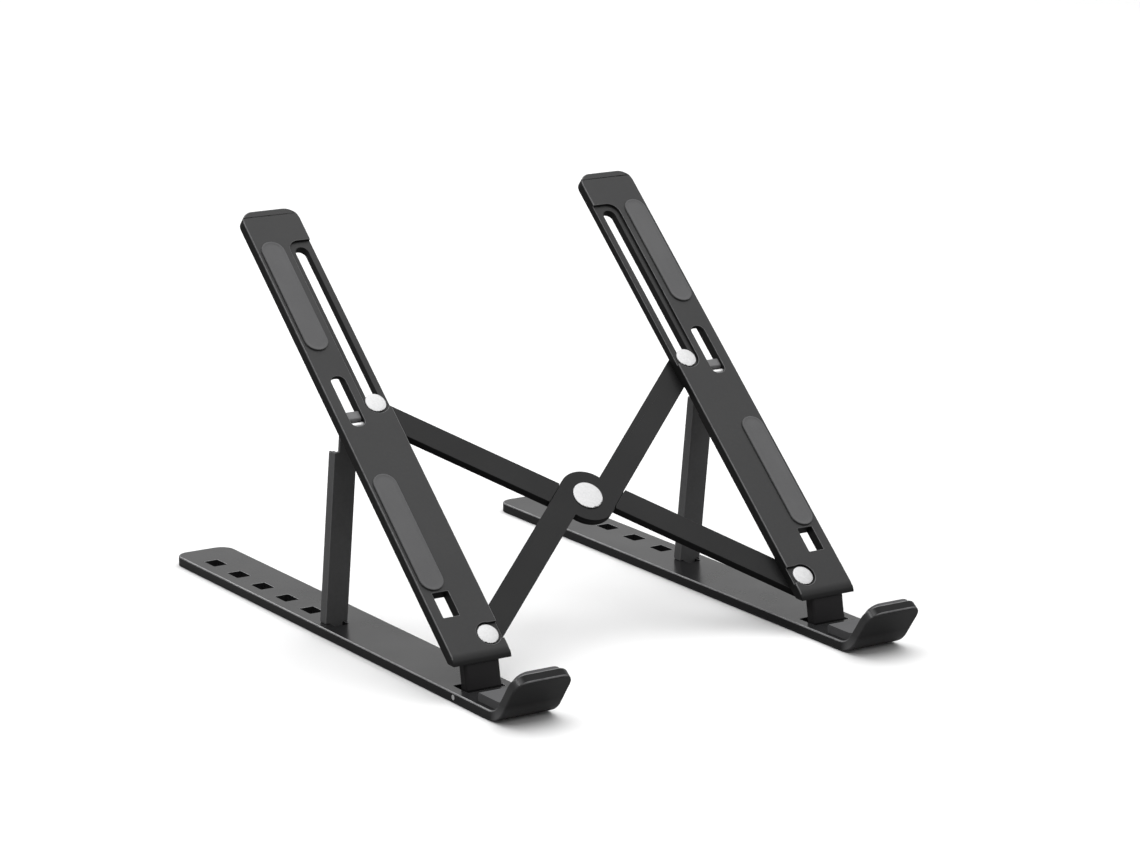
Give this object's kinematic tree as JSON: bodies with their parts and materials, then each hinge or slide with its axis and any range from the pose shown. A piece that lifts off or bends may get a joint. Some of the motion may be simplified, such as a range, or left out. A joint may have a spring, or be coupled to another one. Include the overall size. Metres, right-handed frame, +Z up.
{
  "type": "folding laptop stand",
  "caption": "Folding laptop stand: hooked base legs, sloping arms on riser links, channel props and crossed riveted bars that slide in slots; folds to a slim bundle.",
  "frame": {"origin": "centre plane between the two legs, middle of the overall length, on the desk surface", "axes": "+Z up, -Y towards the user (hooks), +X to the user's right"},
  "size_m": [0.1706, 0.2496, 0.1468],
  "materials": {
    "base_finish": "satin black anodised",
    "arm_finish": "satin black anodised",
    "bar_finish": "satin black anodised",
    "link_finish": "satin black anodised",
    "prop_finish": "satin black anodised",
    "hook_silicone": "matte grey silicone",
    "arm_silicone": "matte dark grey silicone",
    "foot_silicone": "matte dark grey silicone",
    "rivet_steel": "bright silver, slightly mottled",
    "pin_steel": "bright silver",
    "knuckle_steel": "dull grey",
    "washer_steel": "dull",
    "bush_plastic": "black"
  },
  "bodies": {
    "base_left": {"base_leg_left": "base_finish", "hook_pad_left": "hook_silicone", "foot_pads_left": "foot_silicone", "link_pin_lower_left": "pin_steel"},
    "link_left": {"riser_link_left": "link_finish"},
    "arm_assembly_left": {"arm_left": "arm_finish", "arm_pad_front_left": "arm_silicone", "arm_pad_rear_left": "arm_silicone", "front_rivet_left": "rivet_steel", "link_pin_upper_left": "pin_steel", "prop_knuckle_left": "knuckle_steel", "prop_pin_left": "pin_steel"},
    "prop_body_left": {"prop_left": "prop_finish"},
    "base_right": {"base_leg_right": "base_finish", "hook_pad_right": "hook_silicone", "foot_pads_right": "foot_silicone", "link_pin_lower_right": "pin_steel"},
    "link_right": {"riser_link_right": "link_finish"},
    "arm_assembly_right": {"arm_right": "arm_finish", "arm_pad_front_right": "arm_silicone", "arm_pad_rear_right": "arm_silicone", "front_rivet_right": "rivet_steel", "link_pin_upper_right": "pin_steel", "prop_knuckle_right": "knuckle_steel", "prop_pin_right": "pin_steel"},
    "prop_body_right": {"prop_right": "prop_finish"},
    "bar_upper": {"cross_bar_upper": "bar_finish", "slot_rivet_right": "rivet_steel", "slot_bush_right": "bush_plastic", "centre_rivet": "rivet_steel", "centre_washer": "washer_steel"},
    "bar_lower": {"cross_bar_lower": "bar_finish", "slot_rivet_left": "rivet_steel", "slot_bush_left": "bush_plastic"}
  },
  "joints": [
    {"name": "flat_fold", "type": "hinge", "parent": "base_left", "child": "link_left", "pos_m": [-0.0736, -0.0834, 0.00186], "axis": [-1, 0, 0], "range_deg": [0, 38.7]},
    {"name": "arm_left_tilt", "type": "hinge", "parent": "link_left", "child": "arm_assembly_left", "pos_m": [-0.0736, -0.08122, 0.01388], "axis": [-1, 0, 0], "range_deg": [0, 2.82]},
    {"name": "scissor_fold", "type": "hinge", "parent": "arm_assembly_left", "child": "bar_upper", "pos_m": [-0.0672, -0.07482, 0.01727], "axis": [0, -0.6626, 0.749], "range_deg": [0, 49.48]},
    {"name": "bar_cross", "type": "hinge", "parent": "bar_upper", "child": "bar_lower", "pos_m": [0, -0.03707, 0.05067], "axis": [0, -0.6626, 0.749], "range_deg": [-98.98, 0]},
    {"name": "arm_right_pivot", "type": "hinge", "parent": "bar_lower", "child": "arm_assembly_right", "pos_m": [0.0672, -0.07482, 0.01727], "axis": [0, -0.6626, 0.749], "range_deg": [0, 49.5]},
    {"name": "arm_right_tilt", "type": "hinge", "parent": "arm_assembly_right", "child": "link_right", "pos_m": [0.0736, -0.08122, 0.01388], "axis": [-1, 0, 0], "range_deg": [-2.82, 0]},
    {"name": "base_right_tilt", "type": "hinge", "parent": "link_right", "child": "base_right", "pos_m": [0.0736, -0.0834, 0.00186], "axis": [-1, 0, 0], "range_deg": [-38.72, 0]},
    {"name": "prop_left_swing", "type": "hinge", "parent": "base_left", "child": "prop_body_left", "pos_m": [-0.0778, 0.0136, 0.00455], "axis": [-1, 0, 0], "range_deg": [0, 97.45]},
    {"name": "prop_right_swing", "type": "hinge", "parent": "base_right", "child": "prop_body_right", "pos_m": [0.0778, 0.0136, 0.00455], "axis": [-1, 0, 0], "range_deg": [0, 97.45]}
  ],
  "couplings": [
    {"joint": "arm_left_tilt", "follows": "flat_fold", "ratio": 0.072351},
    {"joint": "arm_right_tilt", "follows": "flat_fold", "ratio": -0.072351},
    {"joint": "base_right_tilt", "follows": "flat_fold", "ratio": -1},
    {"joint": "prop_left_swing", "follows": "flat_fold", "ratio": 2.5168},
    {"joint": "prop_right_swing", "follows": "flat_fold", "ratio": 2.5168},
    {"joint": "bar_cross", "follows": "scissor_fold", "ratio": -2},
    {"joint": "arm_right_pivot", "follows": "scissor_fold", "ratio": 1}
  ]
}
